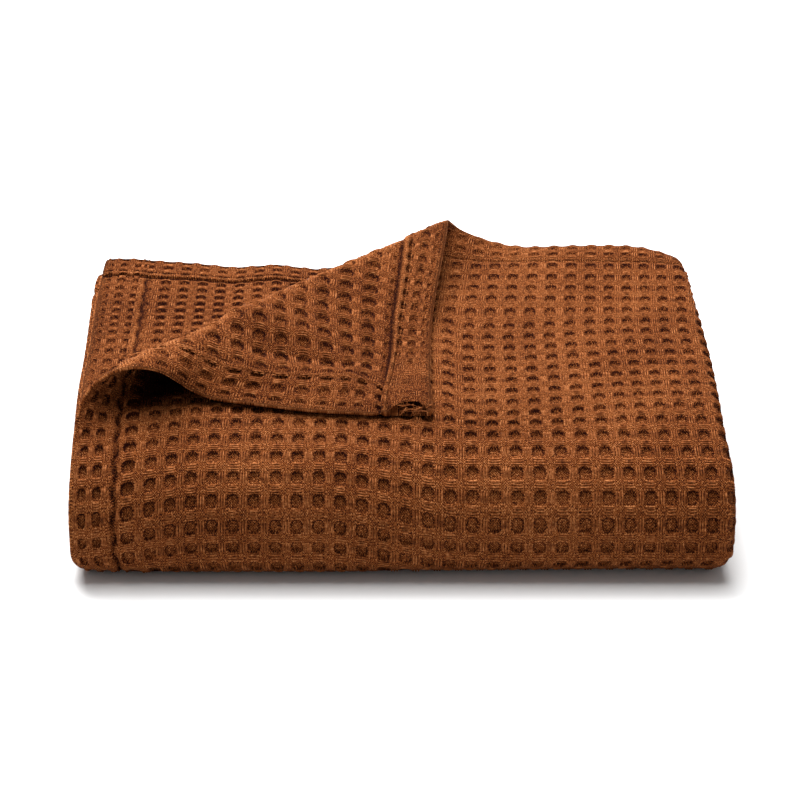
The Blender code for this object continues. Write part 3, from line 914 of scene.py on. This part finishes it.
def yarn():
    """The same cotton as single threads, a little lighter and shinier along the floats."""
    material, shader, make = new_finish("rust yarn", 0.85, 0.08)
    place = make.node("ShaderNodeTexCoord", (), (), "Object")
    fuzz = make.node("ShaderNodeTexNoise", (), {"Vector": place, "Scale": 1100.0, "Detail": 1.0})
    lengths = make.node("ShaderNodeTexNoise", (), {"Vector": place, "Scale": 320.0, "Detail": 1.0})
    light = (fuzz * 0.6 + lengths * 0.8 - 0.2).from_to(0.1, 0.95)
    colour = make.node("ShaderNodeValToRGB", {"stops": [
        (0.0, (0.05, 0.012, 0.003, 1)), (0.5, (0.22, 0.062, 0.015, 1)), (1.0, (0.50, 0.19, 0.065, 1))]},
        {"Fac": light})
    make.tree.links.new(colour.socket, shader.inputs["Base Color"])
    return material


LAYING, YARN = laid_threads(), yarn()


def threads(name, lines, thickness=0.9 * MM, sides=4):
    """A piece of laid threads along these lines of points, all with the same number of points."""
    lines = np.asarray(lines)
    count, points = lines.shape[:2]
    first = np.arange(count)[:, None] * points + np.arange(points - 1)
    edges = np.stack([first, first + 1], axis=-1).reshape(-1, 2)
    mesh = bpy.data.meshes.new(name)
    mesh.from_pydata(lines.reshape(-1, 3).tolist(), edges.tolist(), [])
    piece = bpy.data.objects.new(name, mesh)
    bpy.context.collection.objects.link(piece)
    return worked(piece, LAYING, Thickness=thickness, Sides=sides, Finish=YARN)


FLOAT_RISE = np.array([-0.7, 0.15, 0.35, 0.15, -0.7]) * MM  # over the cloth, from end to end
FLOAT_REACH = 0.3  # half of a float's length, as a share of a cell
FLOATS_APART = 0.125  # from one float of a bar to the next, as a share of a cell
WEFT_SUNK = 0.22 * MM  # how far the floats across lie below those along


def floats(name, shown, side):
    """The float threads on the bars between the pits, three to a bar."""
    columns, rows = shown.shape
    i, j = (index.ravel()[:, None] for index in np.nonzero(shown))
    shift = 0.5 if side == REVERSE else 0.0
    along = np.linspace(-FLOAT_REACH, FLOAT_REACH, 5)
    level = 0 * along
    lines = []
    for apart in (-FLOATS_APART, 0.0, FLOATS_APART):
        lines.append((i + shift + apart + level, j + 0.5 - shift + along, 0 * i[:, 0]))
        lines.append((i + 0.5 - shift + along, j + shift + 0.85 * apart + level, 0 * i[:, 0] + 1))
    column, row, weft = (np.concatenate(parts) for parts in zip(*lines))
    keep = (column.min(axis=1) > 0.3) & (row.min(axis=1) > 0.3)
    keep &= (column.max(axis=1) < columns - 0.3) & (row.max(axis=1) < rows - 0.3)
    column, row, weft = column[keep], row[keep], weft[keep]
    u, v = place_in_cloth(column, row)
    deep = depth_of_cells(u, v, side)
    keep = (deep.min(axis=1) > 0.3) & ((side < 0) | (inside_roll(u, v).max(axis=1) < 0.25))
    u, v, deep, weft = u[keep], v[keep], deep[keep], weft[keep, None]
    w = side * (thickness(u, v, side) + FLOAT_RISE * (0.6 + 0.4 * deep) - WEFT_SUNK * weft) - billow(u, v)
    lines = sheet_point(u.ravel(), v.ravel(), w.ravel()).reshape(*u.shape, 3)
    return threads(name, lines)


STITCH_PITCH, STITCH_THICKNESS = 3.6 * MM, 0.75 * MM
STITCH_RISE = np.array([-0.5, 0.1, 0.25, 0.1, -0.5]) * MM  # over the cloth, from end to end


def stitches(name, ends, side):
    """Small stitches, along lines of the flat sheet from (u, v) to (u, v) in millimetres."""
    lines = []
    for u_from, v_from, u_to, v_to in np.array(ends) * MM:
        run = math.hypot(u_to - u_from, v_to - v_from)
        starts = np.arange(0, run - STITCH_PITCH, STITCH_PITCH)[:, None] / run
        share = starts + np.linspace(0.12, 0.78, 5) * STITCH_PITCH / run
        u, v = u_from + share * (u_to - u_from), v_from + share * (v_to - v_from)
        v = v + flare(u, v) * (v_from == v_to)
        w = side * (thickness(u, v, side) + STITCH_RISE) - billow(u, v)
        lines.append(sheet_point(u, v, w))
    return threads(name, np.concatenate(lines), STITCH_THICKNESS)


# The two hems' stitches as they show: on the turned corner's reverse, and down the face's left.
flap_stitches = stitches("flap_stitches", [(4, 18.9, 205, 18.9), (20, 30, 20, 175)], REVERSE)
hem_stitches = stitches("hem_stitches", [(21.6, 215, 21.6, 330)], FACE)

# The end of the turned corner's hem is left open, and its cut threads fray out of it. One more
# loose end stands up from the hem's seam, near the top.
TUFTS, TUFT_THICKNESS = 34, 0.55 * MM
LOOSE_END = (157, 27, -1.8)  # in the flat sheet, in millimetres


def one_place(u, v, w):
    """The place of one point of the flat sheet, given in millimetres."""
    return sheet_point(*np.array([[u], [v], [w]]) * MM)[0]


loose = np.random.default_rng(11)
tufts = []
for _ in range(TUFTS):
    v = 1 + 17 * loose.random() ** 1.3
    depth = loose.random()
    root = one_place(1 + 4 * depth, v, 0.4 - 3.6 * depth)
    way = loose.normal(size=3) * np.array([1.6, 0.7, 1.0]) + np.array([0.8, -1.2, 0.4])
    curl = loose.normal(size=3) * np.array([2.4, 1.0, 2.0])
    reach = (1.0 + 1.2 * loose.random()) * MM
    share = np.linspace(-0.5, 1.5, 7)[:, None]
    tufts.append(root + reach * (share * way + share**2 * curl * 0.5))
tufts.append(one_place(*LOOSE_END) + np.linspace(0, 1, 7)[:, None] * np.array([3.6, -0.5, -0.3]) * MM)
flap_fray = threads("flap_fray", tufts, TUFT_THICKNESS)

outer_floats = floats("outer_floats", outer_face & outer, FACE)
flap_floats = floats("flap_floats", outer_reverse & outer, REVERSE)
for piece in (outer_floats, flap_floats, flap_stitches, hem_stitches, flap_fray):
    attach(piece, "root")
    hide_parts("blanket")

# ---- The second ply at the turned corner ----
# The same sheet's other hemmed side, which lies bare where the corner is turned back. Its reverse
# side is up, with the hem's turned allowance raised along both edges.
ply_x = ACROSS - cell_u  # from its side hem
second = (ply_x < SECOND_SIZE[0]) & (cell_v < nose_turned)
uncovered = on_corner_line(ply_x + SHORT_LEFT, cell_v)[1] > lift_line.mean() - 14 * MM
second_edge = ply_x < SIDE_HEM_CELLS[1]
second_bare = uncovered & (cell_v < 0.2)
second_ply = cloth_piece("second_ply", second, second_edge, second_bare | second_edge, FINE)
worked(second_ply, RELIEF, Finish=COTTON)
second_floats = floats("second_floats", second_bare & second, REVERSE)
for piece in (second_ply, second_floats):
    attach(piece, "root")
    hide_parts("blanket")

# ---- The inner plies ----
# The rest of the same sheet: the plies folded in under the outermost one, and the five passes
# below the top. What shows of them is their folds and hems at the sides and the back.
COARSE = np.array([0, 0.16, 0.26, 0.5, 0.74, 0.84, 1])  # fewer splits, as little of it shows
rest = ~(outer | second)
in_right = (cell_u > PLIES[0][0] - 6 * MM) & (cell_u < right_turned + 2 * MM)
left_start = sum(run[0] for run in PLIES[:3])
in_left = (cell_u > left_start - 8 * MM) & (cell_u < left_start + PLIES[3][0] + 8 * MM)
at_hems = np.minimum(cell_u, ACROSS - cell_u) < 3 * MM
at_hems |= np.minimum(cell_v - 9 * MM, ALONG - cell_v) < 3 * MM
in_back = (abs(cell_v - UPWARD_FOLD) < 16 * MM) & (cell_u < right_turned)
inner_face = in_right | in_left | at_hems | in_back | at_downward_fold(cell_u, cell_v)
inner_plies = cloth_piece("inner_plies", rest, inner_face, at_hems, COARSE)
worked(inner_plies, RELIEF, Finish=COTTON)
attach(inner_plies, "root")
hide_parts("blanket")
inner_area = ACROSS * ALONG - math.prod(OUTER_SIZE) - math.prod(SECOND_SIZE)

# ---- Floor, light and camera ----
# A pale sheet that the blanket lies on, two soft lights from above and behind, and a long lens.
FLOOR = 6  # from its middle to its edges
floor_mesh = bpy.data.meshes.new("floor")
floor_corners = [(-FLOOR, -FLOOR, 0), (FLOOR, -FLOOR, 0), (FLOOR, FLOOR, 0), (-FLOOR, FLOOR, 0)]
floor_mesh.from_pydata(floor_corners, [], [(0, 1, 2, 3)])
floor = bpy.data.objects.new("floor", floor_mesh)
bpy.context.collection.objects.link(floor)
paper = bpy.data.materials.new("pale floor")
paper.use_nodes = True
paper.node_tree.nodes["Principled BSDF"].inputs["Base Color"].default_value = (0.9, 0.9, 0.9, 1)
paper.node_tree.nodes["Principled BSDF"].inputs["Roughness"].default_value = 0.9
floor_mesh.materials.append(paper)


def soft_light(name, place, aim, size, power):
    """A round light of this size in metres and power in watts."""
    light = bpy.data.lights.new(name, "AREA")
    light.shape, light.size, light.energy = "DISK", size, power
    lamp = bpy.data.objects.new(name, light)
    bpy.context.collection.objects.link(lamp)
    lamp.location = place
    lamp.rotation_euler = (Vector(aim) - Vector(place)).to_track_quat("-Z", "Y").to_euler()


soft_light("key light", (-0.38, 0.85, 1.42), (0, 0, 0.03), 1.4, 52)
soft_light("top light", (0.1, 0.12, 1.6), (0, 0, 0), 1.2, 24)
world = bpy.data.worlds.new("studio")
world.use_nodes = True
world.node_tree.nodes["Background"].inputs["Color"].default_value = (1, 1, 1, 1)
world.node_tree.nodes["Background"].inputs["Strength"].default_value = 0.28
bpy.context.scene.world = world

FOCAL_PIXELS, WIDTH_PIXELS = 2615, 800  # the focal length, and how wide the camera's view is
SENSOR = 36  # its width in millimetres
ELEVATION = math.radians(28.5)
AIM, DISTANCE = Vector((0.0011, -0.0166, 0.049)), 1.5  # in metres
lens = bpy.data.cameras.new("camera")
lens.sensor_width, lens.lens = SENSOR, FOCAL_PIXELS / WIDTH_PIXELS * SENSOR
lens.clip_start = 0.05
camera = bpy.data.objects.new("camera", lens)
bpy.context.collection.objects.link(camera)
ahead = Vector((0, math.cos(ELEVATION), -math.sin(ELEVATION)))
camera.location = AIM - ahead * DISTANCE
camera.rotation_euler = ahead.to_track_quat("-Z", "Y").to_euler()
bpy.context.scene.camera = camera
bpy.context.scene.view_settings.view_transform = "Standard"
